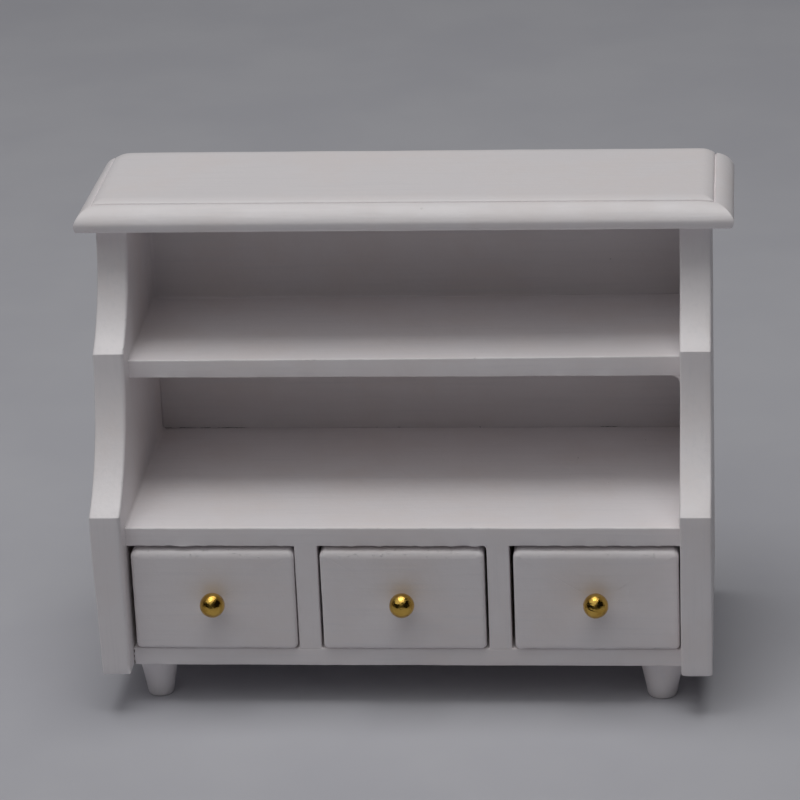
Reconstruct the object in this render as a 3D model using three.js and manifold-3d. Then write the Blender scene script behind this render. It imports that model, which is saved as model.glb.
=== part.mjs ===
// A dolls' house dresser: three small drawers under two open shelves, on four turned feet.
// Millimetres, +Z up. The front faces -Y. The origin is under the middle of the whole piece, on the floor.
// Left and right are as someone standing in front sees them, so left is -X.

import * as THREE from "three";
import { RoundedBoxGeometry } from "three/addons/geometries/RoundedBoxGeometry.js";
import { mergeVertices } from "three/addons/utils/BufferGeometryUtils.js";
import Module from "manifold-3d";

const wasm = await Module();
wasm.setup();

// Driving dimensions.
const caseWidth = 79.2; // over the side panels
const caseDepth = 38.9; // of a side panel, front to back, at its foot
const endOverhang = 2.7; // of the top board past each side panel
const frontOverhang = 2.9; // of the top board past the sides' upper ends
const topThickness = 3.5;
const sideThickness = 4;
const backThickness = 2.3;
const bottomThickness = 2.45;
const shelfThickness = 2.45;
const dividerThickness = 2.9;
const bayHeight = 16.45; // clear height of each open bay
const drawerOpening = 14.6; // clear height of the drawer bays
const boardSetback = 3; // shelves and rail behind the front edge of the sides
const footHeight = 5.8;

// Stepped front edge of the sides.
const lowerStep = 10.8; // how far the upper half stands back from the lower
const upperStep = 19.2; // how far the sides' top ends stand back
const lowerCornerRise = 2.7; // first corner, above the lower shelf
const upperCornerRise = 2; // second corner, above the middle shelf
const toeRadius = 0.3;

// Moulded edge of the top board, from its underside up.
const undercutRadius = 0.7;
const ovoloFoot = 1.2;
const ovoloWidth = 2.4;
const ovoloDrop = 0.6; // top of the ovolo below the flat top
const quirkRise = 0.4; // upright step between the ovolo and the flat top's rounded edge
const easingWidth = 1.2;

// Drawers.
const sideGap = 0.35; // between a drawer front and its bay, each side
const topGap = 0.5;
const runningGap = 0.1; // under a drawer
const stopGap = 0.2; // between a closed drawer and the back panel
const frontThickness = 2.4;
const frontRounding = 0.5;
const boxInset = 0.1; // the box is this much narrower than its front, each side
const boxWall = 1.5;
const boxHeight = 12.6;
const trayThickness = 1.2;
const trayRise = 0.3; // tray above the sides' lower edges

// Knobs.
const ballDiameter = 3.1;
const knobReach = 4; // front of the ball, in front of the drawer
const knobLift = 0.15; // axis above the middle of the drawer front
const collarRadius = 0.55;
const collarLength = 0.45;
const pinRadius = 0.45;
const pinClearance = 0.05;
const pinInset = 0.3; // end of the pin, short of the drawer's inside

// Feet.
const footTopRadius = 3.2;
const footToeRadius = 1.8;
const footWaist = 0.45; // how far the taper curves in
const footInsetX = 6.6; // axis, in from the outside of the case
const footInsetY = 7;

// Fineness of round stretches.
const turnedSegments = 24;
const arcSegments = 6;

// Sizes that follow.
const topWidth = caseWidth + 2 * endOverhang;
const innerWidth = caseWidth - 2 * sideThickness;
const innerHalf = innerWidth / 2;
const knobProud = knobReach - boardSetback;
const backY = (caseDepth + knobProud) / 2;
const frontY = backY - caseDepth;
const railY = frontY + boardSetback;
const midShelfY = railY + lowerStep;
const topFrontY = frontY + upperStep - frontOverhang;
const panelY = backY - backThickness; // front face of the back panel
const baseZ = footHeight;
const drawerFloorZ = baseZ + bottomThickness;
const lowerShelfZ = drawerFloorZ + drawerOpening;
const lowerBayZ = lowerShelfZ + shelfThickness;
const midShelfZ = lowerBayZ + bayHeight;
const upperBayZ = midShelfZ + shelfThickness;
const topZ = upperBayZ + bayHeight;
const drawerBays = 3;
const bayWidth = (innerWidth - (drawerBays - 1) * dividerThickness) / drawerBays;
const bayPitch = bayWidth + dividerThickness;

// Bases that lay a flat outline in a plane and extrude it along the third axis.
const X = new THREE.Vector3(1, 0, 0);
const Y = new THREE.Vector3(0, 1, 0);
const Z = new THREE.Vector3(0, 0, 1);
const outlineInYZ = new THREE.Matrix4().makeBasis(Y, Z, X);
const outlineInXZ = new THREE.Matrix4().makeBasis(X, Z, Y.clone().negate());

const paint = (color) => new THREE.MeshStandardMaterial({ color, roughness: 0.45, metalness: 0 });
const whitePaint = paint(0xe6e3de);
const shadedPaint = paint(0xdedbd6);
const bareWood = new THREE.MeshStandardMaterial({ color: 0xd8bf98, roughness: 0.75, metalness: 0 });
const goldPlate = new THREE.MeshStandardMaterial({ color: 0xd9a52b, roughness: 0.18, metalness: 1 });

const dresser = new THREE.Group();

function addPiece(group, name, geometry, material) {
  const mesh = new THREE.Mesh(geometry, material.clone());
  mesh.name = name;
  group.add(mesh);
  return mesh;
}

// A board that fills the box given by its two limits along each axis.
function addBoard(group, name, material, xLimits, yLimits, zLimits) {
  const limits = [xLimits, yLimits, zLimits];
  const size = limits.map(([low, high]) => high - low);
  const centre = limits.map(([low, high]) => (low + high) / 2);
  const board = addPiece(group, name, new THREE.BoxGeometry(...size), material);
  board.position.set(...centre);
}

function solidOf(geometry) {
  const bare = geometry.clone();
  bare.deleteAttribute("normal");
  bare.deleteAttribute("uv");
  const merged = mergeVertices(bare, 1e-4);
  const vertProperties = merged.getAttribute("position").array;
  const triVerts = new Uint32Array(merged.index.array);
  return new wasm.Manifold(new wasm.Mesh({ numProp: 3, vertProperties, triVerts }));
}

function geometryOf(solid) {
  const mesh = solid.getMesh();
  const geometry = new THREE.BufferGeometry();
  geometry.setAttribute("position", new THREE.BufferAttribute(mesh.vertProperties, 3));
  geometry.setIndex(new THREE.BufferAttribute(mesh.triVerts, 1));
  const faceted = geometry.toNonIndexed();
  faceted.computeVertexNormals();
  return faceted;
}

function extrude(shape, depth, basis) {
  const options = { depth, bevelEnabled: false, curveSegments: arcSegments };
  return new THREE.ExtrudeGeometry(shape, options).applyMatrix4(basis);
}

// A hollow sweep from one corner up and back to the next, upright where it ends.
function scoop(shape, from, to) {
  const run = to.y - from.y;
  const rise = to.z - from.z;
  const radius = (run * run + rise * rise) / (2 * run);
  const centreY = to.y - radius;
  const startAngle = Math.atan2(from.z - to.z, from.y - centreY);
  shape.absarc(centreY, to.z, radius, startAngle, 0, false);
}

function addSidePanel(group, name, lowX) {
  const toe = { y: frontY + toeRadius, z: baseZ + toeRadius };
  const lowerCorner = { y: frontY, z: lowerBayZ + lowerCornerRise };
  const upperCorner = { y: frontY + lowerStep, z: upperBayZ + upperCornerRise };
  const head = { y: frontY + upperStep, z: topZ };
  const outline = new THREE.Shape();
  outline.moveTo(backY, baseZ);
  outline.lineTo(backY, topZ);
  outline.lineTo(head.y, head.z);
  const edge = new THREE.Path();
  edge.moveTo(toe.y, baseZ);
  edge.absarc(toe.y, toe.z, toeRadius, -Math.PI / 2, -Math.PI, true);
  edge.lineTo(lowerCorner.y, lowerCorner.z);
  scoop(edge, lowerCorner, upperCorner);
  scoop(edge, upperCorner, head);
  const points = edge.getPoints(arcSegments).reverse();
  points.forEach((point) => outline.lineTo(point.x, point.y));
  const panel = addPiece(group, name, extrude(outline, sideThickness, outlineInYZ), whitePaint);
  panel.position.x = lowX;
}

// The moulded edge from the underside up: undercut, upright, ovolo, quirk and the flat top's eased edge.
function mouldedEdge() {
  const edge = new THREE.Path();
  edge.moveTo(undercutRadius, 0);
  edge.absarc(undercutRadius, undercutRadius, undercutRadius, -Math.PI / 2, -Math.PI, true);
  edge.lineTo(0, ovoloFoot);
  const ovoloHeight = topThickness - ovoloDrop - ovoloFoot;
  edge.absellipse(ovoloWidth, ovoloFoot, ovoloWidth, ovoloHeight, Math.PI, Math.PI / 2, true);
  const easingFoot = topThickness - ovoloDrop + quirkRise;
  const easingHeight = topThickness - easingFoot;
  const easingX = ovoloWidth + easingWidth;
  edge.lineTo(ovoloWidth, easingFoot);
  edge.absellipse(easingX, easingFoot, easingWidth, easingHeight, Math.PI, Math.PI / 2, true);
  return edge.getPoints(arcSegments);
}

// Section of the top board across a span, moulded at its start and, if asked, at its end.
function boardSection(span, mouldedEnd) {
  const start = mouldedEdge();
  const square = [new THREE.Vector2(0, 0), new THREE.Vector2(0, topThickness)];
  const end = (mouldedEnd ? start : square).map((p) => new THREE.Vector2(span - p.x, p.y));
  return new THREE.Shape([...start, ...end.reverse()]);
}

// Two moulded bars, one along each direction, cross to leave a board with mitred corners.
function addTopBoard(group) {
  const depth = backY - topFrontY;
  const across = extrude(boardSection(topWidth, true), depth, outlineInXZ);
  across.translate(-topWidth / 2, backY, topZ);
  const along = extrude(boardSection(depth, false), topWidth, outlineInYZ);
  along.translate(-topWidth / 2, topFrontY, topZ);
  const board = solidOf(across).intersect(solidOf(along));
  addPiece(group, "top_board", geometryOf(board), whitePaint);
}

function turned(profile) {
  return new THREE.LatheGeometry(profile, turnedSegments);
}

function addFoot(group, name, x, y) {
  const taper = new THREE.QuadraticBezierCurve(
    new THREE.Vector2(footToeRadius, 0),
    new THREE.Vector2((footToeRadius + footTopRadius) / 2 - footWaist, footHeight / 2),
    new THREE.Vector2(footTopRadius, footHeight),
  );
  const start = new THREE.Vector2(0, 0);
  const end = new THREE.Vector2(0, footHeight);
  const geometry = turned([start, ...taper.getPoints(arcSegments), end]);
  const foot = addPiece(group, name, geometry.rotateX(Math.PI / 2), whitePaint);
  foot.position.set(x, y, 0);
}

// A ball on a pin with a small collar, turned about the pin. Its local +Y runs out of the drawer.
function addKnob(group, name, z) {
  const radius = ballDiameter / 2;
  const ballCentre = knobReach - radius;
  const neckAngle = Math.asin(pinRadius / radius);
  const profile = new THREE.Path();
  profile.moveTo(0, pinInset - frontThickness);
  profile.lineTo(pinRadius, pinInset - frontThickness);
  profile.lineTo(pinRadius, 0);
  profile.lineTo(collarRadius, 0);
  profile.lineTo(collarRadius, collarLength);
  profile.lineTo(pinRadius, collarLength);
  profile.absarc(0, ballCentre, radius, neckAngle - Math.PI / 2, Math.PI / 2, false);
  const points = profile.getPoints(arcSegments + 2);
  points[points.length - 1].x = 0;
  const knob = addPiece(group, name, turned(points).rotateX(Math.PI), goldPlate);
  knob.position.set(0, railY, z);
}

function addDrawerFront(group, name, width, lowZ, highZ) {
  const height = highZ - lowZ;
  const slab = new RoundedBoxGeometry(width, frontThickness, height, 3, frontRounding);
  const hole = turned([
    new THREE.Vector2(0, -frontThickness),
    new THREE.Vector2(pinRadius + pinClearance, -frontThickness),
    new THREE.Vector2(pinRadius + pinClearance, frontThickness),
    new THREE.Vector2(0, frontThickness),
  ]).translate(0, 0, knobLift);
  const drilled = solidOf(slab).subtract(solidOf(hole));
  const front = addPiece(group, name, geometryOf(drilled), whitePaint);
  front.position.set(0, railY + frontThickness / 2, lowZ + height / 2);
}

function addDrawer(name, x) {
  const drawer = new THREE.Group();
  drawer.position.x = x;
  const frontWidth = bayWidth - 2 * sideGap;
  const lowZ = drawerFloorZ + runningGap;
  const highZ = lowerShelfZ - topGap;
  addDrawerFront(drawer, `${name}_front`, frontWidth, lowZ, highZ);
  addKnob(drawer, `${name}_knob`, (lowZ + highZ) / 2 + knobLift);

  const outer = frontWidth / 2 - boxInset;
  const inner = outer - boxWall;
  const boxFrontY = railY + frontThickness;
  const boxBackY = panelY - stopGap;
  const trayBackY = boxBackY - boxWall;
  const wallZ = [lowZ, lowZ + boxHeight];
  const trayZ = [lowZ + trayRise, lowZ + trayRise + trayThickness];
  addBoard(drawer, `${name}_side_left`, bareWood, [-outer, -inner], [boxFrontY, boxBackY], wallZ);
  addBoard(drawer, `${name}_side_right`, bareWood, [inner, outer], [boxFrontY, boxBackY], wallZ);
  addBoard(drawer, `${name}_back`, bareWood, [-inner, inner], [trayBackY, boxBackY], wallZ);
  addBoard(drawer, `${name}_bottom`, bareWood, [-inner, inner], [boxFrontY, trayBackY], trayZ);
  dresser.add(drawer);
}

function addCase() {
  const across = [-innerHalf, innerHalf];
  const fullDepth = [railY, panelY];
  addTopBoard(dresser);
  addSidePanel(dresser, "side_panel_left", -innerHalf - sideThickness);
  addSidePanel(dresser, "side_panel_right", innerHalf);
  addBoard(dresser, "back_panel", shadedPaint, across, [panelY, backY], [baseZ, topZ]);
  addBoard(dresser, "bottom_board", whitePaint, across, fullDepth, [baseZ, drawerFloorZ]);
  addBoard(dresser, "lower_shelf", whitePaint, across, fullDepth, [lowerShelfZ, lowerBayZ]);
  addBoard(dresser, "mid_shelf", whitePaint, across, [midShelfY, panelY], [midShelfZ, upperBayZ]);
  for (const [side, x] of [["left", -bayPitch / 2], ["right", bayPitch / 2]]) {
    const xLimits = [x - dividerThickness / 2, x + dividerThickness / 2];
    addBoard(dresser, `divider_${side}`, whitePaint, xLimits, fullDepth, [drawerFloorZ, lowerShelfZ]);
  }
}

function addFeet() {
  const footX = caseWidth / 2 - footInsetX;
  for (const [side, x] of [["left", -footX], ["right", footX]]) {
    addFoot(dresser, `foot_front_${side}`, x, frontY + footInsetY);
    addFoot(dresser, `foot_back_${side}`, x, backY - footInsetY);
  }
}

addCase();
addFeet();
addDrawer("drawer_left", -bayPitch);
addDrawer("drawer_centre", 0);
addDrawer("drawer_right", bayPitch);

export default dresser;
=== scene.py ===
import math

import bpy
import numpy as np
from mathutils import Matrix, Vector, noise


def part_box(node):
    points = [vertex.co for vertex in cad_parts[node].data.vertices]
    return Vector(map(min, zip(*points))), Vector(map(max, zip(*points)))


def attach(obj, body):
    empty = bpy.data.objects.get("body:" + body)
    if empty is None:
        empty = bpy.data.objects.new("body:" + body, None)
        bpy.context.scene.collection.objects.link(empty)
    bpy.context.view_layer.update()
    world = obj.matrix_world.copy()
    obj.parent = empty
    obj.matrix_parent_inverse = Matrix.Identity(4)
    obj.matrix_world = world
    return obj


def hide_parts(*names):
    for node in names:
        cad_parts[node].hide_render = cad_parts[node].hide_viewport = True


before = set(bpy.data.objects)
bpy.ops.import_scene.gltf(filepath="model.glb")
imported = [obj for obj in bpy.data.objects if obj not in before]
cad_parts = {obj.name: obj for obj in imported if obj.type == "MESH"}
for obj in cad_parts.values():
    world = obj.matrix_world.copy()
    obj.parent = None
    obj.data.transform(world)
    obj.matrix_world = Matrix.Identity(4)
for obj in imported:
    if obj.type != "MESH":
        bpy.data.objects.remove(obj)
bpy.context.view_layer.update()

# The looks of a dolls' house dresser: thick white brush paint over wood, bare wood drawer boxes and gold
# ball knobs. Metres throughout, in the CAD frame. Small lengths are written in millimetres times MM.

MM = 0.001
CASE = "carcass"
DRAWERS = ("left", "centre", "right")
FORWARD, UP, DOWN = (0, -1, 0), (0, 0, 1), (0, 0, -1)

# Paint on the boards.
STEP = 1.3 * MM  # size of the mesh's squares on flat faces
SWELL = 0.035 * MM  # how uneven the paint is
RAGGED = 0.035 * MM  # how ragged its edges are
EDGE = 0.2 * MM  # radius of a painted board's edges
CRISP = 0.12 * MM  # radius of a bare board's edges
ROUND_CUTS = (0, 15, 30, 45)  # degrees round half an edge
RIM_CUTS = (0, 22, 45, 68, 90)  # degrees round a slab's edge, from its face to its side
RIM_STEP = 1.1 * MM  # between the rings round a slab's side
FACE_RINGS = (0.05, 0.12, 0.2, 0.28, 0.36, 0.44, 0.52, 0.6, 0.68, 0.76, 0.84, 0.92, 0.97)  # shares outwards
PAINT = (0.91, 0.872, 0.884)

# Moulded edge of the top board.
MOULD_WIDTH = 2.4 * MM
MOULD_FOOT = 1.05 * MM  # widest part, above the underside
TOP_EASE = 0.3 * MM  # radius of the board's back edges

# Drawers. The shifts are how far each front and knob sits to the right of the middle of its bay.
FRONT_PROUD = 0.4 * MM  # how far the fronts stand out from the rails
DRAWER_SHIFT = {"left": 0.18 * MM, "centre": 0, "right": 0.14 * MM}
KNOB_SHIFT = {"left": 0.22 * MM, "centre": 0, "right": 0.11 * MM}

# Camera, solved from the edges of the piece.
CAMERA_PLACE = (0.04453, -0.43991, 0.21503)
CAMERA_TURN = 0.10313  # radians, to the left of straight at the front
CAMERA_DOWN = 0.38375
CAMERA_ROLL = 0.04225
SENSOR = 36
LENS = 164.48


def box_of(node):
    low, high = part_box(node)
    return np.array(low), np.array(high)


def unit(vectors):
    """Vectors made one long. Those with no length stay as they are."""
    length = np.linalg.norm(vectors, axis=-1, keepdims=True)
    return np.divide(vectors, length, out=np.zeros_like(vectors), where=length > 1e-9)


# ---------------------------------------------------------------- paint surface

def swell(point):
    """How far the paint stands out at a point of the piece, above or below its average."""
    broad = noise.noise(point / (9 * MM))
    fine = noise.noise(point / (2.2 * MM) + Vector((7, 3, 5)))
    return SWELL * (broad + 0.5 * fine)


def painted(points, normals, ragged):
    """Points pushed in or out by the unevenness of the paint, with small chips and drips along the edges."""
    height = []
    for point, share in zip(points, ragged):
        spot = Vector(point)
        rough = noise.noise(spot / (0.9 * MM) + Vector((2, 8, 1)))
        drip = max(0, noise.noise(spot / (2.3 * MM) + Vector((4, 1, 6))) - 0.3)
        height.append(swell(spot) + RAGGED * share * (rough + 3 * drip))
    return points + normals * np.array(height)[:, None]


def make_mesh(name, points, faces, on_edge=None, smooth_under=50):
    mesh = bpy.data.meshes.new(name)
    mesh.from_pydata([tuple(p) for p in points], [], faces)
    mesh.validate()
    mesh.shade_smooth()
    mesh.set_sharp_from_angle(angle=math.radians(smooth_under))
    if on_edge is None:
        on_edge = np.zeros(len(points))
    shade = mesh.attributes.new("on_edge", "FLOAT", "POINT")
    shade.data.foreach_set("value", np.asarray(on_edge, np.float32))
    piece = bpy.data.objects.new(name, mesh)
    bpy.context.scene.collection.objects.link(piece)
    return piece


def finish_piece(piece, body, slot, material, *nodes):
    piece.data.materials.append(material)
    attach(piece, body)
    if nodes:
        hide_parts(*nodes)


def normals_of(points, faces):
    draft = bpy.data.meshes.new("draft")
    draft.from_pydata([tuple(p) for p in points], [], faces)
    normals = np.array([v.normal for v in draft.vertices])
    bpy.data.meshes.remove(draft)
    return normals


# ---------------------------------------------------------------- plain boards

def cuts_along(low, high, low_radius, high_radius, step):
    """Places to cut a board along one axis: close together round each end, and even between."""
    tangents = [math.tan(math.radians(angle)) for angle in ROUND_CUTS]
    first = [low + low_radius * (1 - t) for t in reversed(tangents)] if low_radius else [low]
    last = [high - high_radius * (1 - t) for t in tangents] if high_radius else [high]
    count = max(1, round((last[0] - first[-1]) / step))
    middle = np.linspace(first[-1], last[0], count + 1)[1:-1]
    return first + list(middle) + last


def box_grid(cuts):
    """Points and quads over the six sides of a box, cut at the given places along each axis."""
    points, quads, index = [], [], {}

    def vertex(key):
        if key not in index:
            index[key] = len(points)
            points.append([cuts[axis][key[axis]] for axis in range(3)])
        return index[key]

    for axis in range(3):
        u, v = (axis + 1) % 3, (axis + 2) % 3
        for end in (0, len(cuts[axis]) - 1):
            for a in range(len(cuts[u]) - 1):
                for b in range(len(cuts[v]) - 1):
                    ring = []
                    for da, db in ((0, 0), (1, 0), (1, 1), (0, 1)):
                        key = [0, 0, 0]
                        key[axis], key[u], key[v] = end, a + da, b + db
                        ring.append(vertex(tuple(key)))
                    quads.append(ring if end else ring[::-1])
    return np.array(points), quads


def round_box(points, low, high, low_radii, high_radii):
    """A box's grid points moved onto its rounded edges, with their normals and each one's share of edge."""
    below = points < (low + high) / 2
    radii = np.where(below, low_radii, high_radii)
    nearest = np.clip(points, low + np.where(below, radii, 0), high - np.where(below, 0, radii))
    safe = np.where(radii > 0, radii, 1)
    out = unit(np.where(radii > 0, (points - nearest) / safe, 0))
    moved = nearest + radii * out
    moved = np.where(radii > 0, moved, points)
    normals = unit(out / safe)
    flat = np.abs(normals).max(axis=1)
    on_edge = np.where(flat > 0, np.clip((1 - flat) / (1 - math.sqrt(0.5)), 0, 1), 0)
    return moved, normals, on_edge


def board(node, body, slot, material, low_radii, high_radii,
          step=(STEP,) * 3, sharpen=None, ragged=(1, 1), bend=None):
    """A softened, slightly uneven board in place of a box-shaped CAD node. A radius of 0 marks a glued side.

    sharpen gives, for each point, how much of the low and of the high radii is left there. bend moves the
    points. ragged is how ragged the paint is along the lower and the upper edges.
    """
    low, high = box_of(node)
    cuts = [cuts_along(low[a], high[a], low_radii[a], high_radii[a], step[a]) for a in range(3)]
    points, quads = box_grid(cuts)
    low_radii, high_radii = np.array([low_radii]), np.array([high_radii])
    if sharpen:
        low_share, high_share = sharpen(points)
        low_radii, high_radii = low_radii * low_share, high_radii * high_share
    points, normals, on_edge = round_box(points, low, high, low_radii, high_radii)
    if bend:
        points = bend(points, low, high)
    rough = on_edge * np.where(points[:, 2] < (low[2] + high[2]) / 2, *ragged)
    piece = make_mesh(f"{node}_shaped", painted(points, normals, rough), quads, on_edge)
    finish_piece(piece, body, slot, material, node)


# ---------------------------------------------------------------- slabs with a shaped outline

def corner_normals(outline):
    """For each point of a closed outline, the move outwards that shifts both its sides by one."""
    before = unit(outline - np.roll(outline, 1, axis=0))
    after = unit(np.roll(outline, -1, axis=0) - outline)
    first = np.stack([before[:, 1], -before[:, 0]], axis=1)
    second = np.stack([after[:, 1], -after[:, 0]], axis=1)
    return (first + second) / (1 + (first * second).sum(axis=1))[:, None]


def ring_faces(size, rings):
    """Faces of a closed body made of a first point, some rings of size points each and a last point."""
    faces = []
    top, last = 1 + (rings - 1) * size, 1 + rings * size
    for k in range(size):
        after = (k + 1) % size
        faces.append([0, 1 + after, 1 + k])
        for r in range(rings - 1):
            a, b = 1 + r * size, 1 + (r + 1) * size
            faces.append([a + k, a + after, b + after, b + k])
        faces.append([top + k, top + after, last])
    return faces


def face_rings(outline, outward, radius, level, centre):
    """Rings over a slab's flat face. A ring is an outline, each point's depth and its share of edge."""
    rim = outline - outward * radius[:, None]
    depth = level * np.ones(len(outline))
    return [(centre + (rim - centre) * share, depth, 0) for share in FACE_RINGS]


def rim_rings(outline, outward, radius, level, sign):
    """Rings round the edge of a face, from the flat face to the side. sign is 1 if the slab is above it."""
    rings = []
    for a in np.radians(RIM_CUTS):
        flat = outline - outward * (radius * (1 - math.sin(a)))[:, None]
        rings.append((flat, level + sign * radius * (1 - math.cos(a)), math.sin(2 * a)))
    return rings


def slab(node, body, slot, material, outline, axes, depth, radii, centre):
    """A thick plate with a shaped outline, rounded round both faces.

    outline runs anticlockwise in the plane of the first two of the three axes; depth is its low and high
    along the third; radii gives the edge radius at each face for each point's outward direction, and 0 is
    square.
    """
    outward = corner_normals(outline)
    low, high = depth
    radius_low, radius_high = (np.array([radii(face, d) for d in unit(outward)]) for face in (0, 1))
    count = max(1, round((high - low) / RIM_STEP))
    start, finish = low + radius_low, high - radius_high
    rings = face_rings(outline, outward, radius_low, low, centre)
    rings += rim_rings(outline, outward, radius_low, low, 1)
    rings += [(outline, start + (finish - start) * (k / count), 0) for k in range(1, count)]
    rings += rim_rings(outline, outward, radius_high, high, -1)[::-1]
    rings += face_rings(outline, outward, radius_high, high, centre)[::-1]

    u, v, w = (np.array(axis, float) for axis in axes)
    middle = centre[0] * u + centre[1] * v
    points, on_edge = [middle + low * w], [0]
    for flat, along, edge in rings:
        points.extend(flat[:, :1] * u + flat[:, 1:] * v + along[:, None] * w)
        on_edge.extend([edge] * len(outline))
    points = np.array(points + [middle + high * w])
    on_edge.append(0)
    faces = ring_faces(len(outline), len(rings))
    shaped = painted(points, normals_of(points, faces), on_edge)
    piece = make_mesh(f"{node}_shaped", shaped, faces, on_edge)
    finish_piece(piece, body, slot, material, node)
    return piece


def along_line(start, end, step=STEP):
    """Points from start up to but not including end."""
    start, end = np.array(start, float), np.array(end, float)
    count = max(1, round(np.linalg.norm(end - start) / step))
    return [start + (end - start) * k / count for k in range(count)]


def eased_corner(corner, before, after, radius, cuts=5):
    """A corner rounded off to a radius, as points from one side to the other."""
    corner, before, after = (np.array(p, float) for p in (corner, before, after))
    to_before, to_after = unit(before - corner), unit(after - corner)
    half = math.acos(np.clip(to_before @ to_after, -1, 1)) / 2
    reach = radius / math.tan(half)
    middle = corner + unit(to_before + to_after) * radius / math.sin(half)
    first, last = corner + to_before * reach - middle, corner + to_after * reach - middle
    return [middle + unit(first * (1 - t) + last * t) * radius for t in np.linspace(0, 1, cuts)]


def eased_outline(stretches, radius_at):
    """A closed outline from stretches of points, with the corner at the start of each one eased."""
    arcs = []
    for number, stretch in enumerate(stretches):
        arcs.append(eased_corner(stretch[0], stretches[number - 1][-1], stretch[1], radius_at(number)))
    outline = []
    for number, stretch in enumerate(stretches):
        following = (number + 1) % len(stretches)
        ends = ((stretch[0], arcs[number][-1]), (stretches[following][0], arcs[following][0]))
        outline += arcs[number]
        for point in stretch[1:]:
            if all(math.dist(point, corner) > math.dist(arc, corner) + 0.05 * MM for corner, arc in ends):
                outline.append(point)
    return np.array(outline)


# ---------------------------------------------------------------- materials

def new_material(name):
    material = bpy.data.materials.new(name)
    material.use_nodes = True
    tree = material.node_tree
    return material, tree, tree.nodes["Principled BSDF"]


def mapped(tree, scale):
    """The piece's own coordinates in metres, stretched by a scale on each axis."""
    where = tree.nodes.new("ShaderNodeTexCoord")
    mapping = tree.nodes.new("ShaderNodeMapping")
    mapping.inputs["Scale"].default_value = scale
    tree.links.new(where.outputs["Object"], mapping.inputs["Vector"])
    return mapping.outputs["Vector"]


def noise_at(tree, vector, detail=3, roughness=0.55, distortion=0.0):
    texture = tree.nodes.new("ShaderNodeTexNoise")
    texture.inputs["Scale"].default_value = 1
    texture.inputs["Detail"].default_value = detail
    texture.inputs["Roughness"].default_value = roughness
    texture.inputs["Distortion"].default_value = distortion
    tree.links.new(vector, texture.inputs["Vector"])
    return texture.outputs["Fac"]


def ranged(tree, value, low, high, to_low=0.0, to_high=1.0):
    """A value between low and high spread over to_low to to_high, and held there outside them."""
    node = tree.nodes.new("ShaderNodeMapRange")
    node.interpolation_type = "SMOOTHSTEP"
    node.inputs["From Min"].default_value = low
    node.inputs["From Max"].default_value = high
    node.inputs["To Min"].default_value = to_low
    node.inputs["To Max"].default_value = to_high
    tree.links.new(value, node.inputs["Value"])
    return node.outputs["Result"]


def combine(tree, operation, a, b):
    node = tree.nodes.new("ShaderNodeMath")
    node.operation = operation
    for socket, value in zip(node.inputs, (a, b)):
        if isinstance(value, (int, float)):
            socket.default_value = value
        else:
            tree.links.new(value, socket)
    return node.outputs["Value"]


def blended(tree, factor, under, over):
    """One colour over another. Each is a colour or the output of another node."""
    node = tree.nodes.new("ShaderNodeMix")
    node.data_type = "RGBA"
    tree.links.new(factor, node.inputs["Factor"])
    for socket, value in ((node.inputs[6], under), (node.inputs[7], over)):
        if isinstance(value, tuple):
            socket.default_value = (*value, 1)
        else:
            tree.links.new(value, socket)
    return node.outputs[2]


def raised(tree, shader, height, distance):
    bump = tree.nodes.new("ShaderNodeBump")
    bump.inputs["Strength"].default_value = 1
    bump.inputs["Distance"].default_value = distance
    tree.links.new(height, bump.inputs["Height"])
    tree.links.new(bump.outputs["Normal"], shader.inputs["Normal"])


def edge_amount(tree):
    attribute = tree.nodes.new("ShaderNodeAttribute")
    attribute.attribute_name = "on_edge"
    return attribute.outputs["Fac"]


def sparse_dots(tree, cell, radius, share):
    """Small round dots, one in some of the cells of a grid of that size. 1 in a dot, 0 outside."""
    texture = tree.nodes.new("ShaderNodeTexVoronoi")
    texture.inputs["Scale"].default_value = 1
    tree.links.new(mapped(tree, (1 / cell,) * 3), texture.inputs["Vector"])
    dot = ranged(tree, texture.outputs["Distance"], 0.5 * radius / cell, radius / cell, 1, 0)
    pick = tree.nodes.new("ShaderNodeSeparateColor")
    tree.links.new(texture.outputs["Color"], pick.inputs["Color"])
    return combine(tree, "MULTIPLY", dot, combine(tree, "LESS_THAN", pick.outputs["Red"], share))


def grain_scale(grain, along, across):
    scale = [1 / across] * 3
    scale[grain] = 1 / along
    return scale


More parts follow.
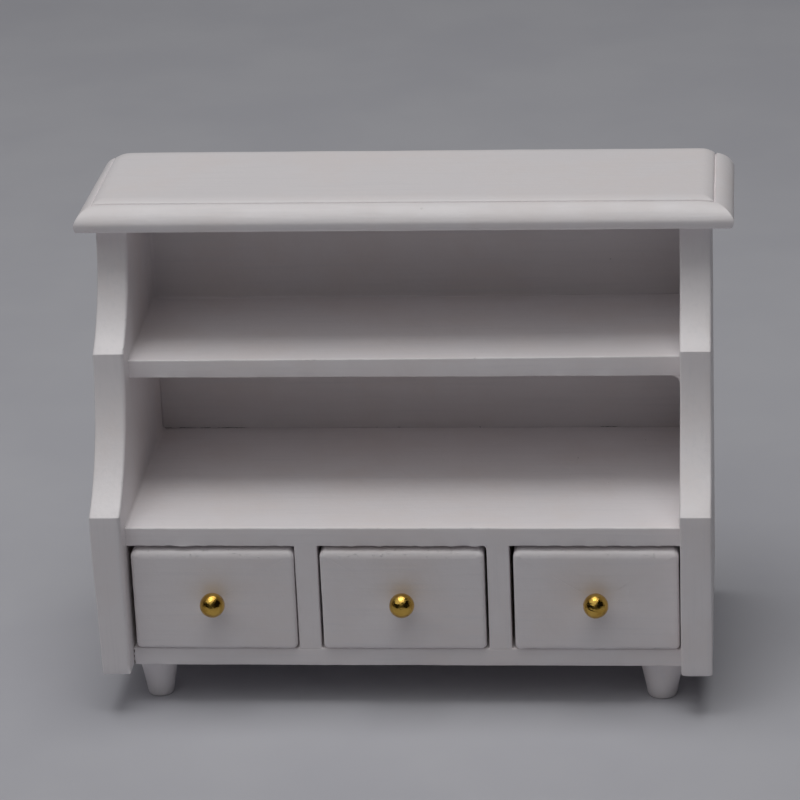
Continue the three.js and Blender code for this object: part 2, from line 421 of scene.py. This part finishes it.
def paint_material(name, colour, grain, worn):
    """Satin brush paint: faint strokes along the grain, soft blotches, nibs, specks and worn edges."""
    material, tree, shader = new_material(name)
    strokes = noise_at(tree, mapped(tree, grain_scale(grain, 14 * MM, 0.5 * MM)), 4, 0.6)
    fine_grain = noise_at(tree, mapped(tree, grain_scale(grain, 4 * MM, 0.16 * MM)), 2, 0.5)
    peel = noise_at(tree, mapped(tree, (1 / (0.8 * MM),) * 3), 3)
    blotch = noise_at(tree, mapped(tree, (1 / (12 * MM),) * 3), 4, 0.6)
    nibs = sparse_dots(tree, 2.6 * MM, 0.17 * MM, 0.16)
    specks = sparse_dots(tree, 4.3 * MM, 0.12 * MM, 0.14)

    warm = tuple(c * f for c, f in zip(colour, (0.975, 0.955, 0.94)))
    cool = tuple(c * f for c, f in zip(colour, (0.94, 0.945, 0.95)))
    shade = blended(tree, ranged(tree, blotch, 0.38, 0.7), colour, warm)
    shade = blended(tree, ranged(tree, strokes, 0.48, 0.72, 0, 0.55), shade, cool)
    chip_noise = noise_at(tree, mapped(tree, (1 / (0.8 * MM),) * 3), 5, 0.7)
    chips = combine(tree, "MULTIPLY", ranged(tree, edge_amount(tree), 0.35, 0.9),
                    ranged(tree, chip_noise, 0.69, 0.72, 0, worn))
    shade = blended(tree, chips, shade, (0.40, 0.36, 0.33))
    shade = blended(tree, combine(tree, "MULTIPLY", specks, 0.7), shade, (0.17, 0.15, 0.14))
    fleck_noise = noise_at(tree, mapped(tree, (1 / (0.55 * MM), 1 / (0.55 * MM), 1 / (0.3 * MM))), 2, 0.5)
    flecks = combine(tree, "MULTIPLY", ranged(tree, edge_amount(tree), 0.05, 0.5),
                     ranged(tree, fleck_noise, 0.66, 0.72))
    shade = blended(tree, combine(tree, "MULTIPLY", flecks, 0.6), shade, (0.93, 0.92, 0.92))
    tree.links.new(shade, shader.inputs["Base Color"])

    rough = ranged(tree, blotch, 0.3, 0.75, 0.34, 0.48)
    rough = combine(tree, "ADD", rough, ranged(tree, strokes, 0.4, 0.75, 0, 0.07))
    tree.links.new(rough, shader.inputs["Roughness"])

    height = combine(tree, "ADD", combine(tree, "MULTIPLY", strokes, 0.5),
                     combine(tree, "MULTIPLY", peel, 0.6))
    height = combine(tree, "ADD", height, combine(tree, "MULTIPLY", fine_grain, 0.22))
    height = combine(tree, "ADD", height, combine(tree, "MULTIPLY", nibs, 0.9))
    height = combine(tree, "SUBTRACT", height, combine(tree, "MULTIPLY", chips, 1.2))
    height = combine(tree, "ADD", height, combine(tree, "MULTIPLY", flecks, 1.5))
    raised(tree, shader, height, 0.045 * MM)
    return material


def wood_material(name, grain, light, dark):
    """Bare sanded wood with its grain along one axis."""
    material, tree, shader = new_material(name)
    figure = noise_at(tree, mapped(tree, grain_scale(grain, 22 * MM, 1.1 * MM)), 5, 0.62, 0.6)
    pores = noise_at(tree, mapped(tree, grain_scale(grain, 3.5 * MM, 0.16 * MM)), 3, 0.6)
    shade = blended(tree, ranged(tree, figure, 0.36, 0.68), light, dark)
    deep = tuple(0.55 * c for c in dark)
    shade = blended(tree, ranged(tree, pores, 0.62, 0.74, 0, 0.55), shade, deep)
    tree.links.new(shade, shader.inputs["Base Color"])
    tree.links.new(ranged(tree, figure, 0.3, 0.7, 0.62, 0.78), shader.inputs["Roughness"])
    height = combine(tree, "SUBTRACT", combine(tree, "MULTIPLY", figure, 0.5), ranged(tree, pores, 0.6, 0.75))
    raised(tree, shader, height, 0.03 * MM)
    return material


def gold_material(name):
    """Polished gold-coloured plate with fine scratches, crinkles and a little tarnish."""
    material, tree, shader = new_material(name)
    shader.inputs["Metallic"].default_value = 1
    tarnish = noise_at(tree, mapped(tree, (1 / (1.3 * MM),) * 3), 4, 0.6)
    bright, dull = (0.68, 0.44, 0.10), (0.42, 0.22, 0.03)
    shade = blended(tree, ranged(tree, tarnish, 0.42, 0.7, 0, 0.7), bright, dull)
    tree.links.new(shade, shader.inputs["Base Color"])
    scratches = noise_at(tree, mapped(tree, (1 / (0.5 * MM), 1 / (0.07 * MM), 1 / (0.2 * MM))), 3, 0.7)
    rough = combine(tree, "ADD", ranged(tree, tarnish, 0.4, 0.75, 0.04, 0.12),
                    ranged(tree, scratches, 0.55, 0.8, 0, 0.1))
    tree.links.new(rough, shader.inputs["Roughness"])
    crinkle = noise_at(tree, mapped(tree, (1 / (0.42 * MM),) * 3), 3, 0.6)
    height = combine(tree, "ADD", crinkle, combine(tree, "MULTIPLY", scratches, 0.15))
    raised(tree, shader, height, 0.07 * MM)
    return material


paint_across = paint_material("paint_across", PAINT, 0, 0.7)
paint_upright = paint_material("paint_upright", PAINT, 2, 0.7)
paint_back = paint_material("paint_back", tuple(0.97 * c for c in PAINT), 0, 0.5)
wood_deep = wood_material("wood_deep", 1, (0.66, 0.49, 0.31), (0.50, 0.34, 0.19))
wood_across = wood_material("wood_across", 0, (0.66, 0.49, 0.31), (0.50, 0.34, 0.19))
gold = gold_material("gold_plate")


# ---------------------------------------------------------------- case

def away_from_dividers(points):
    """0 where a divider meets a rail, so that the paint runs on from one to the other, up to 1 beside it."""
    share = np.ones(len(points))
    for side in ("left", "right"):
        low, high = box_of(f"divider_{side}")
        past = np.maximum(low[0] - points[:, 0], points[:, 0] - high[0])
        share = np.minimum(share, np.clip(past / (0.5 * MM), 0.02, 1))
    return share


def sharpened(edge):
    """How much of its radii a rail keeps near a divider, along its lower edges (0) or its upper ones (1)."""
    def shares(points):
        pair = (np.ones((len(points), 3)), np.ones((len(points), 3)))
        pair[edge][:, 2] = away_from_dividers(points)
        return pair
    return shares


def thick_rail(points, low, high):
    """The upper rail is a little deeper than the shelf behind it."""
    to_front = np.clip(1 - (points[:, 1] - low[1]) / (3 * MM), 0, 1)
    downward = (high[2] - points[:, 2]) / (high[2] - low[2])
    fall = 0.1 * MM * to_front * downward
    return points - np.stack([0 * fall, 0 * fall, fall], axis=1)


def thick_right_end(points, low, high):
    """The middle shelf's top rises a little towards its right end, where it joins the side."""
    across = np.clip((points[:, 0] - low[0]) / (high[0] - low[0]), 0, 1)
    upward = (points[:, 2] - low[2]) / (high[2] - low[2])
    rise = 0.3 * MM * across ** 2 * upward
    return points + np.stack([0 * rise, 0 * rise, rise], axis=1)


def make_boards():
    fine = (0.45 * MM, STEP, STEP)
    open_joint = 0.28 * MM  # radius where a joint shows as a dark line
    board("lower_shelf", CASE, "white_paint", paint_across, (0, EDGE, EDGE), (0, open_joint, EDGE),
          step=fine, sharpen=sharpened(0), ragged=(7, 1), bend=thick_rail)
    board("mid_shelf", CASE, "white_paint", paint_across, (0, EDGE, 0.5 * EDGE), (0, CRISP, EDGE),
          step=fine, bend=thick_right_end)
    board("bottom_board", CASE, "white_paint", paint_across, (open_joint, EDGE, 0.7 * EDGE),
          (0, CRISP, 1.6 * EDGE), step=fine, sharpen=sharpened(1), ragged=(1, 2))
    board("back_panel", CASE, "back_paint", paint_back, (open_joint, EDGE / 2, EDGE), (0, EDGE, 0))
    for side in ("left", "right"):
        board(f"divider_{side}", CASE, "white_paint", paint_upright, (EDGE, EDGE, 0), (EDGE, 0, 0),
              step=(STEP, STEP, 0.5 * MM), ragged=(2, 2))


def panel_front(node):
    """The stepped front edge of a side panel, from its foot up: depth and height of the CAD's points."""
    front = {}
    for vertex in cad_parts[node].data.vertices:
        height = round(vertex.co.z, 7)
        front[height] = min(front.get(height, vertex.co.y), vertex.co.y)
    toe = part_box(node)[0].z + 1 * MM
    foot = np.array((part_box(node)[0].y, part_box(node)[0].z))
    return [foot] + [np.array((front[height], height)) for height in sorted(front) if height > toe]


def steps_in(front):
    """Where the two scoops begin: the places of the two sharpest turns in the front edge."""
    def turn(k):
        return unit(front[k] - front[k - 1]) @ unit(front[k + 1] - front[k])
    return sorted(sorted(range(1, len(front) - 1), key=turn)[:2])


def make_side_panel(side):
    """A thick panel with two scoops in its front edge. The right foot is rounder, the left one thinner."""
    node = f"side_panel_{side}"
    low, high = box_of(node)
    front = panel_front(node)
    first, second = steps_in(front)
    stretches = [
        along_line(front[0], (high[1], low[2])),
        along_line((high[1], low[2]), (high[1], high[2])),
        along_line((high[1], high[2]), front[-1]),
        front[:second:-1],
        front[second:first:-1],
        along_line(front[first], front[0]),
    ]
    outline = eased_outline(stretches, lambda number: (0.25 if number == 0 else 0.12) * MM)
    edge = 0.26 * MM
    toe = 1.15 * MM if side == "right" else 0.3 * MM
    worn_face = 1 if side == "left" else None  # the left panel's inner front edge is the softest

    def radii(face, direction):
        downward, forward = max(0.0, -direction[1]), max(0.0, -direction[0])
        worn = 0.3 * MM * forward ** 6 if face == worn_face else 0.0
        return edge + worn + (toe - edge) * downward ** 3

    centre = np.array([0.65 * high[1] + 0.35 * low[1], 0.58 * low[2] + 0.42 * high[2]])
    panel = slab(node, CASE, "white_paint", paint_upright, outline, ((0, 1, 0), (0, 0, 1), (1, 0, 0)),
                 (low[0], high[0]), radii, centre)
    if side == "left":
        thin, reach = 0.32 * MM, 16 * MM
        for vertex in panel.data.vertices:
            outer = (high[0] - vertex.co.x) / (high[0] - low[0])
            near_foot = max(0, 1 - (vertex.co.z - low[2]) / reach)
            vertex.co.x += thin * outer * near_foot


def moulded_edge(thickness, drop, lip, flatness, groove):
    """Inset and height up the moulded edge: lip, ovolo, groove and the flat top's eased edge.

    drop, lip and groove are in millimetres. The ovolo is a quarter of an ellipse at flatness 1, a slope at 2.
    """
    drop, lip, groove = drop * MM, lip * MM, groove * MM
    top = thickness - drop
    steps = []
    for a in np.linspace(math.pi / 2, 0, 7):
        steps.append((lip * (1 - math.cos(a)), MOULD_FOOT * (1 - math.sin(a))))
    for a in np.linspace(0, 0.5 * math.pi, 12)[1:]:
        inset = (MOULD_WIDTH - 0.1 * MM) * (1 - math.cos(a) ** flatness)
        steps.append((inset, MOULD_FOOT + (top - MOULD_FOOT) * math.sin(a) ** (0.3 + 0.7 * flatness)))
    field = MOULD_WIDTH + 0.1 * MM + 0.4 * groove  # where the flat top begins
    steps.append((MOULD_WIDTH - 0.03 * MM, top - groove))
    steps.append((field - 0.08 * MM, top - groove))
    steps.append((field - 0.03 * MM, top + 0.08 * MM))
    easing, foot = 1.6 * MM, top + 0.12 * MM
    for t in np.linspace(0, 1, 7):
        steps.append((field + easing * t, thickness - (thickness - foot) * (1 - t) ** 2.2))
    return steps


def fill_in(points, faces, border, rows, columns, upward):
    """Fills in a ring of three sides with a grid, from its front line back. Returns the last line."""
    across, last_row = len(columns), len(rows) - 1
    grid = [border[last_row:last_row + across]]
    for r in range(last_row - 1, -1, -1):
        left, right = border[r], border[len(border) - 1 - r]
        line = [left]
        for t in columns[1:-1]:
            x = points[left][0] + (points[right][0] - points[left][0]) * t
            z = points[left][2] + (points[right][2] - points[left][2]) * t
            line.append(len(points))
            points.append((x, points[left][1], z))
        grid.append(line + [right])
    for near, far in zip(grid, grid[1:]):
        for c in range(across - 1):
            quad = [near[c], near[c + 1], far[c + 1], far[c]]
            faces.append(quad if upward else quad[::-1])
    return grid[-1]


def settled(points, normals, low, high, grooves):
    """The top board's points with eased back edges, the grooves sunk at their back ends and a slight tilt."""
    to_back = high[1] - points[:, 1]
    short_of_ease = np.clip(TOP_EASE ** 2 - (TOP_EASE - to_back) ** 2, 0, None)
    inward = np.where(to_back < TOP_EASE, TOP_EASE - np.sqrt(short_of_ease), 0)
    points = points - unit(normals * (1, 0, 1)) * inward[:, None]
    upper = (points[:, 2] - low[2]) / (high[2] - low[2])
    for x, (fall, reach) in zip(grooves, ((0.25 * MM, 1.5 * MM), (0.1 * MM, 1.2 * MM))):
        distance = np.hypot(points[:, 0] - x, to_back)
        points[:, 2] -= fall * np.clip(upper - 0.5, 0, 0.5) * 2 * np.exp(-((distance / reach) ** 2))
    tilt = 0.0022
    points[:, 2] -= tilt * points[:, 0] * np.clip(upper * 2, 0.4, 1)
    return points


def make_top():
    """The top board. Its left end is a little short and tapers to the back, its right end a little long."""
    low, high = box_of("top_board")
    thickness = high[2] - low[2]
    left_end = moulded_edge(thickness, 0.55, 0.3, 1.4, 0.07)
    front_edge = moulded_edge(thickness, 0.42, 0.38, 1.5, 0.07)
    right_end = moulded_edge(thickness, 0.58, 0.5, 1.25, 0.25)
    rows = cuts_along(0, 1, TOP_EASE / (high[1] - low[1]), 0.012, 0.05)  # shares of the way forward
    columns = cuts_along(0, 1, 0.008, 0.008, STEP / (high[0] - low[0]))  # shares of the way across
    left_short, left_taper, right_long = 0.4 * MM, 0.45 * MM, 0.22 * MM
    groove_left, groove_right = low[0] + MOULD_WIDTH, high[0] - MOULD_WIDTH + right_long
    points, faces = [], []

    def left_x(inset, forward):
        width = MOULD_WIDTH - left_short - left_taper * (1 - forward)
        if inset > MOULD_WIDTH:
            return groove_left + inset - MOULD_WIDTH
        return groove_left - width * (1 - inset / MOULD_WIDTH)

    def ring(left, front, right):
        """One line round three sides, from the back of the left end to the back of the right end."""
        y_front = low[1] + front[0]
        start = len(points)
        for t in rows[:-1]:
            points.append((left_x(left[0], t), high[1] + (y_front - high[1]) * t, low[2] + left[1]))
        first, last = left_x(left[0], 1), groove_right + MOULD_WIDTH - right[0]
        for t in columns:
            to_left, to_right = max(0, 1 - t / 0.02), max(0, 1 - (1 - t) / 0.02)
            z = front[1] + (left[1] - front[1]) * to_left + (right[1] - front[1]) * to_right
            points.append((first + (last - first) * t, y_front, low[2] + z))
        for t in reversed(rows[:-1]):
            points.append((last, high[1] + (y_front - high[1]) * t, low[2] + right[1]))
        return list(range(start, len(points)))

    rings = [ring(*steps) for steps in zip(left_end, front_edge, right_end)]
    for lower, upper in zip(rings, rings[1:]):
        for i in range(len(lower) - 1):
            faces.append([lower[i], lower[i + 1], upper[i + 1], upper[i]])
    under_back = fill_in(points, faces, rings[0], rows, columns, False)
    over_back = fill_in(points, faces, rings[-1], rows, columns, True)
    left_up = [r[0] for r in rings]
    right_up = [r[-1] for r in rings]
    faces.append(left_up[:-1] + over_back[:-1] + right_up[::-1][:-1] + under_back[::-1][:-1])

    points = np.array(points)
    normals = normals_of(points, faces)
    points = settled(points, normals, low, high, (groove_left, groove_right))
    bent = np.clip(1.2 * (1 - np.abs(normals).max(axis=1)) / 0.3, 0, 1)
    piece = make_mesh("top_board_shaped", painted(points, normals, 0.5 * bent), faces, 0.12 * bent, 42)
    finish_piece(piece, CASE, "white_paint", paint_across, "top_board")


def turned_mesh(name, profile, start, out, segments):
    """A closed solid turned about an axis. The profile is (distance along, radius), from end to end."""
    side = out.orthogonal().normalized()
    other = out.cross(side)
    points = [start + out * profile[0][0]]
    for along, radius in profile[1:-1]:
        for k in range(segments):
            a = 2 * math.pi * k / segments
            points.append(start + out * along + (side * math.cos(a) + other * math.sin(a)) * radius)
    points.append(start + out * profile[-1][0])
    return make_mesh(name, points, ring_faces(segments, len(profile) - 2))


def make_foot(node, size):
    """A turned foot with a hollow taper, flared at its top. size scales its radii."""
    low, high = box_of(node)
    height, top_radius = high[2] - low[2], size * (high[0] - low[0]) / 2
    toe, waist = size * 1.96 * MM, 0.15 * MM
    profile = [(0, 0), (0, toe - 0.25 * MM), (0.06 * MM, toe - 0.08 * MM), (0.25 * MM, toe)]
    for t in np.linspace(0.1, 0.97, 16):
        pull = 2 * t * (1 - t)
        radius = (1 - t) ** 2 * toe + pull * ((toe + top_radius) / 2 - waist) + t * t * top_radius
        profile.append((t * height, radius))
    profile += [(height, top_radius), (height, 0)]
    centre = Vector(((low[0] + high[0]) / 2, (low[1] + high[1]) / 2, low[2]))
    piece = turned_mesh(f"{node}_shaped", profile, centre, Vector((0, 0, 1)), 40)
    for vertex in piece.data.vertices:
        away = (vertex.co - centre) * Vector((1, 1, 0))
        if low[2] + 0.1 * MM < vertex.co.z < high[2] - 0.1 * MM:
            vertex.co += away.normalized() * 1.5 * swell(vertex.co)
    finish_piece(piece, CASE, "white_paint", paint_upright, node)


def bead(points, faces, start, end, side_a, side_b, radius):
    """Adds a bead of paint along an inside corner, from start to end. The sides point away from it."""
    start, end, side_a, side_b = (Vector(v) for v in (start, end, side_a, side_b))
    embed = 0.04 * MM
    count = max(2, round((end - start).length / (1.2 * MM)))
    arc = [math.radians(a) for a in (0, 18, 36, 54, 72, 90)]
    first = len(points)
    for i in range(count + 1):
        spot = start.lerp(end, i / count)
        reach = radius * (1 + 0.5 * noise.noise(spot / (3.5 * MM) + Vector((1, 9, 4))))
        points.append(spot - (side_a + side_b) * embed)
        points.append(spot + side_a * reach - side_b * embed)
        for a in arc:
            points.append(spot + side_a * reach * (1 - math.sin(a)) + side_b * reach * (1 - math.cos(a)))
        points.append(spot + side_b * reach - side_a * embed)
    ring = len(arc) + 3
    flip = (end - start).dot(side_a.cross(side_b)) < 0
    for i in range(count):
        for k in range(ring):
            a, b = first + i * ring + k, first + i * ring + (k + 1) % ring
            quad = [a, b, b + ring, a + ring]
            faces.append(quad[::-1] if flip else quad)
    near = list(range(first, first + ring))
    far = list(range(first + count * ring, first + (count + 1) * ring))
    faces.append(near if flip else near[::-1])
    faces.append(far[::-1] if flip else far)


def beads(name, rows):
    points, faces = [], []
    for row in rows:
        bead(points, faces, *row)
    finish_piece(make_mesh(name, points, faces), CASE, "white_paint", paint_across)


def crack(points, faces, start, end, across):
    """Adds a ragged sliver of painted shadow from start to end, widened both ways across."""
    start, end, across = Vector(start), Vector(end), Vector(across)
    count = max(3, round((end - start).length / (0.18 * MM)))
    first = len(points)
    for i in range(count + 1):
        spot = start.lerp(end, i / count)
        wander = 0.05 * MM * noise.noise(spot / (0.5 * MM) + Vector((3, 3, 3)))
        width = 0.045 * MM * math.sin(math.pi * i / count) ** 0.4 * (1 + noise.noise(spot / (0.3 * MM)))
        points.extend([spot + across * (wander + width), spot + across * (wander - width)])
    for i in range(count):
        a = first + 2 * i
        faces.append([a, a + 1, a + 3, a + 2])


def crack_shadow_material():
    material, tree, shader = new_material("crack_shadow")
    shade = ranged(tree, noise_at(tree, mapped(tree, (1 / MM,) * 3)), 0.3, 0.7)
    # Painted shadow: a near-black colour standing in for the shade inside the narrow cracks.
    colour = blended(tree, shade, (0.03, 0.025, 0.022), (0.075, 0.06, 0.055))
    tree.links.new(colour, shader.inputs["Base Color"])
    tree.links.new(ranged(tree, shade, 0, 1, 0.7, 0.95), shader.inputs["Roughness"])
    return material


def make_shadow_cracks():
    """Near-black slivers of painted shadow in short cracks where the lower shelf meets the back and where the
    lower rail meets the left side: the cracks are real, their darkness is painted shade.
    """
    left, right = box_of("side_panel_left")[1][0], box_of("side_panel_right")[0][0]
    back, top = box_of("back_panel")[0][1], box_of("lower_shelf")[1][2]
    rail_low = box_of("bottom_board")[0]
    points, faces = [], []
    along_back = ((0.3, 2.2), (2.6, 6.5), (7.2, 9.4), (10.5, 16.2),
                  (41.1, 41.6), (45.2, 46), (61, 61.4), (84, 87.5))
    percent = (right - left) / 100
    for begin, finish in along_back:
        y, z = back - 0.1 * MM, top + 0.06 * MM
        crack(points, faces, (left + begin * percent, y, z), (left + finish * percent, y, z), (0, -0.6, 0.8))
    x, front = left + 0.08 * MM, rail_low[1] - 0.03 * MM
    for low, high in ((0.1, 0.75), (1.0, 1.5), (1.7, 2.3)):
        start, end = (x, front, rail_low[2] + low * MM), (x, front, rail_low[2] + high * MM)
        crack(points, faces, start, end, (1, 0, 0))
    finish_piece(make_mesh("painted_shadow_cracks", points, faces), CASE, "white_paint", crack_shadow_material())


def make_shelf_beads():
    """Paint gathered in the inside corners of the two open bays."""
    left, right = box_of("side_panel_left")[1][0], box_of("side_panel_right")[0][0]
    back = box_of("back_panel")[0][1]
    lower, middle, top = (box_of(node) for node in ("lower_shelf", "mid_shelf", "top_board"))
    wide = 0.35 * MM
    for name, floor, ceiling in (("lower_bay", lower, middle), ("upper_bay", middle, top)):
        upper = name == "upper_bay"
        floor_z, ceiling_z = floor[1][2], ceiling[0][2]
        floor_y, ceiling_y = floor[0][1] + 0.3 * MM, ceiling[0][1] + 0.3 * MM
        if upper:
            ceiling_y += 3.2 * MM
        rows = []
        if upper:
            rows.append(((left, back, floor_z), (right, back, floor_z), FORWARD, UP, 0.28 * MM))
        rows.append(((left, back, ceiling_z), (right, back, ceiling_z), FORWARD, DOWN, 0.3 * MM))
        for x, inward in ((left, (1, 0, 0)), (right, (-1, 0, 0))):
            rows.append(((x, floor_y, floor_z), (x, back, floor_z), inward, UP, wide))
            under = 1.15 * MM if x == right and not upper else wide
            rows.append(((x, ceiling_y, ceiling_z), (x, back, ceiling_z), inward, DOWN, under))
            if x == right or upper:
                rows.append(((x, back, floor_z), (x, back, ceiling_z), inward, FORWARD, wide))
        beads(f"paint_beads_{name}", rows)


def make_drawer_bay_beads():
    """Paint gathered in the corners of the drawer bays, just inside the rails."""
    rail, floor_z = box_of("lower_shelf")[0], box_of("bottom_board")[1][2]
    edges = [box_of("side_panel_left")[1][0]]
    for side in ("left", "right"):
        low, high = box_of(f"divider_{side}")
        edges += [low[0], high[0]]
    edges.append(box_of("side_panel_right")[0][0])
    y0, y1 = rail[1] + 0.12 * MM, rail[1] + 2.3 * MM
    rows = []
    for number, x in enumerate(edges):
        inward = (1 if number % 2 == 0 else -1, 0, 0)
        head = 0.75 * MM if number == 3 else 0.3 * MM
        rows.append(((x, y0, rail[2]), (x, y1, rail[2]), inward, DOWN, head))
        if number:
            rows.append(((x, y0, floor_z), (x, y1, floor_z), inward, UP, 0.28 * MM))
    beads("paint_beads_drawer_bays", rows)


# ---------------------------------------------------------------- drawers

def make_drawer_front(side):
    """A slab with soft edges, most of all along its top."""
    body = f"drawer_{side}"
    node = f"{body}_front"
    low, high = box_of(node)
    shift = DRAWER_SHIFT[side]
    x0, x1, z0, z1 = low[0] + shift, high[0] + shift, low[2], high[2] - 0.12 * MM
    corners = ((z0, x0), (z1, x0), (z1, x1), (z0, x1))
    stretches = [along_line(a, b, 0.45 * MM) for a, b in zip(corners, corners[1:] + corners[:1])]
    outline = eased_outline(stretches, lambda number: (0.9 if number in (1, 2) else 0.6) * MM)

    def radii(face, direction):
        if face == 1:
            return 0.0
        return 0.45 * MM + 0.6 * MM * max(0.0, direction[0]) ** 2

    centre = np.array([(z0 + z1) / 2, (x0 + x1) / 2])
    slab(node, body, "white_paint", paint_across, outline, ((0, 0, 1), (1, 0, 0), (0, 1, 0)),
         (low[1] - FRONT_PROUD, high[1]), radii, centre)


def make_drawer_box(side):
    body = f"drawer_{side}"
    boards = {
        "side_left": ((CRISP, 0, CRISP), (CRISP, CRISP, CRISP), wood_deep),
        "side_right": ((CRISP, 0, CRISP), (CRISP, CRISP, CRISP), wood_deep),
        "back": ((0, CRISP, CRISP), (0, CRISP, CRISP), wood_across),
        "bottom": ((0, 0, CRISP), (0, 0, CRISP), wood_deep),
    }
    for part, (low_radii, high_radii, material) in boards.items():
        board(f"{body}_{part}", body, "bare_wood", material, low_radii, high_radii, step=(2 * MM,) * 3)


def make_knob(side, seed):
    """A ball on a pin with a small collar, slightly dented. The right one shows the seam round it."""
    body = f"drawer_{side}"
    node = f"{body}_knob"
    low, high = box_of(node)
    radius = 1.04 * (high[0] - low[0]) / 2
    shift = KNOB_SHIFT[side]
    ball = Vector(((low[0] + high[0]) / 2 + shift, low[1] + radius, (low[2] + high[2]) / 2))
    face = box_of(f"{body}_front")[0][1]
    pin, collar, collar_length = 0.45 * MM, 0.55 * MM, 0.45 * MM
    hidden, centre = face - high[1], face - ball.y
    neck = math.asin(pin / radius)
    profile = [(hidden, 0), (hidden, pin), (0, pin), (0, collar)]
    profile += [(0.7 * collar_length, collar), (collar_length, 0.85 * collar), (collar_length, pin)]
    for a in np.linspace(neck, math.pi, 48)[:-1]:
        profile.append((centre - radius * math.cos(a), radius * math.sin(a)))
    profile.append((centre + radius, 0))
    piece = turned_mesh(f"{node}_shaped", profile, Vector((ball.x, face, ball.z)), Vector((0, -1, 0)), 72)
    across_seam = Vector((0.2, -0.05, 1)).normalized()
    ridge = 0.035 * MM if side == "right" else 0
    for vertex in piece.data.vertices:
        away = vertex.co - ball
        if abs(away.length - radius) < 0.01 * MM:
            out = away.normalized()
            dent = 0.03 * MM * noise.noise(out * 1.7 + Vector((seed * 5, 0, 0)))
            off_seam = out.dot(across_seam) / 0.04
            vertex.co += out * (dent + ridge * math.exp(-off_seam * off_seam))
    finish_piece(piece, body, "knob_gold", gold, node)


# ---------------------------------------------------------------- stage

def floor_material():
    material, tree, shader = new_material("floor")
    shade = ranged(tree, noise_at(tree, mapped(tree, (30, 30, 30)), 3), 0.3, 0.7)
    colour = blended(tree, shade, (0.515, 0.515, 0.555), (0.545, 0.545, 0.58))
    tree.links.new(colour, shader.inputs["Base Color"])
    shader.inputs["Roughness"].default_value = 0.9
    return material


def make_stage():
    """A pale floor that turns up into a plain backdrop."""
    width, front, bend_start, bend, height = 6, -3, 0.62, 0.3, 0.9
    line = [(front, 0), (bend_start, 0)]
    for a in np.linspace(0, math.pi / 2, 16)[1:]:
        line.append((bend_start + bend * math.sin(a), bend * (1 - math.cos(a))))
    line.append((bend_start + bend, height))
    points = [(x, y, z) for y, z in line for x in (-width / 2, width / 2)]
    faces = [[2 * i, 2 * i + 1, 2 * i + 3, 2 * i + 2] for i in range(len(line) - 1)]
    floor = make_mesh("floor", points, faces)
    floor.data.materials.append(floor_material())


def add_area_light(name, place, target, size, power, colour):
    light = bpy.data.lights.new(name, "AREA")
    light.shape = "RECTANGLE"
    light.size, light.size_y = size
    light.energy = power
    light.color = colour
    lamp = bpy.data.objects.new(name, light)
    bpy.context.scene.collection.objects.link(lamp)
    lamp.location = place
    lamp.rotation_mode = "QUATERNION"
    lamp.rotation_quaternion = (Vector(target) - Vector(place)).to_track_quat("-Z", "Y")


def make_light():
    world = bpy.data.worlds.new("studio")
    bpy.context.scene.world = world
    world.use_nodes = True
    sky = world.node_tree.nodes["Background"]
    sky.inputs["Color"].default_value = (0.95, 0.97, 1.0, 1)
    sky.inputs["Strength"].default_value = 0.01
    aim = (0, 0, 0.03)
    add_area_light("overhead", (0, 0, 0.75), aim, (0.5, 0.5), 2.2, (1, 1, 1))
    add_area_light("window", (-0.2, -0.25, 0.6), aim, (0.9, 0.7), 1.35, (1, 1, 1))
    add_area_light("front_fill", (0, -0.9, 0.25), aim, (0.8, 0.4), 0.06, (1, 1, 1))


def make_camera():
    data = bpy.data.cameras.new("camera")
    data.sensor_width = SENSOR
    data.lens = LENS
    data.clip_start = 0.01
    camera = bpy.data.objects.new("camera", data)
    bpy.context.scene.collection.objects.link(camera)
    turn = Matrix.Rotation(CAMERA_TURN, 4, "Z")
    tip = Matrix.Rotation(math.pi / 2 - CAMERA_DOWN, 4, "X")
    roll = Matrix.Rotation(-CAMERA_ROLL, 4, "Z")
    camera.matrix_world = Matrix.Translation(CAMERA_PLACE) @ turn @ tip @ roll
    bpy.context.scene.camera = camera


make_camera()
make_light()
make_stage()
make_boards()
make_side_panel("left")
make_side_panel("right")
make_top()
for foot in ("front_left", "back_left", "back_right"):
    make_foot(f"foot_{foot}", 0.86)
make_foot("foot_front_right", 0.97)
make_shelf_beads()
make_drawer_bay_beads()
make_shadow_cracks()
for number, name in enumerate(DRAWERS):
    make_drawer_front(name)
    make_drawer_box(name)
    make_knob(name, number + 1)

bpy.context.scene.view_settings.view_transform = "Standard"
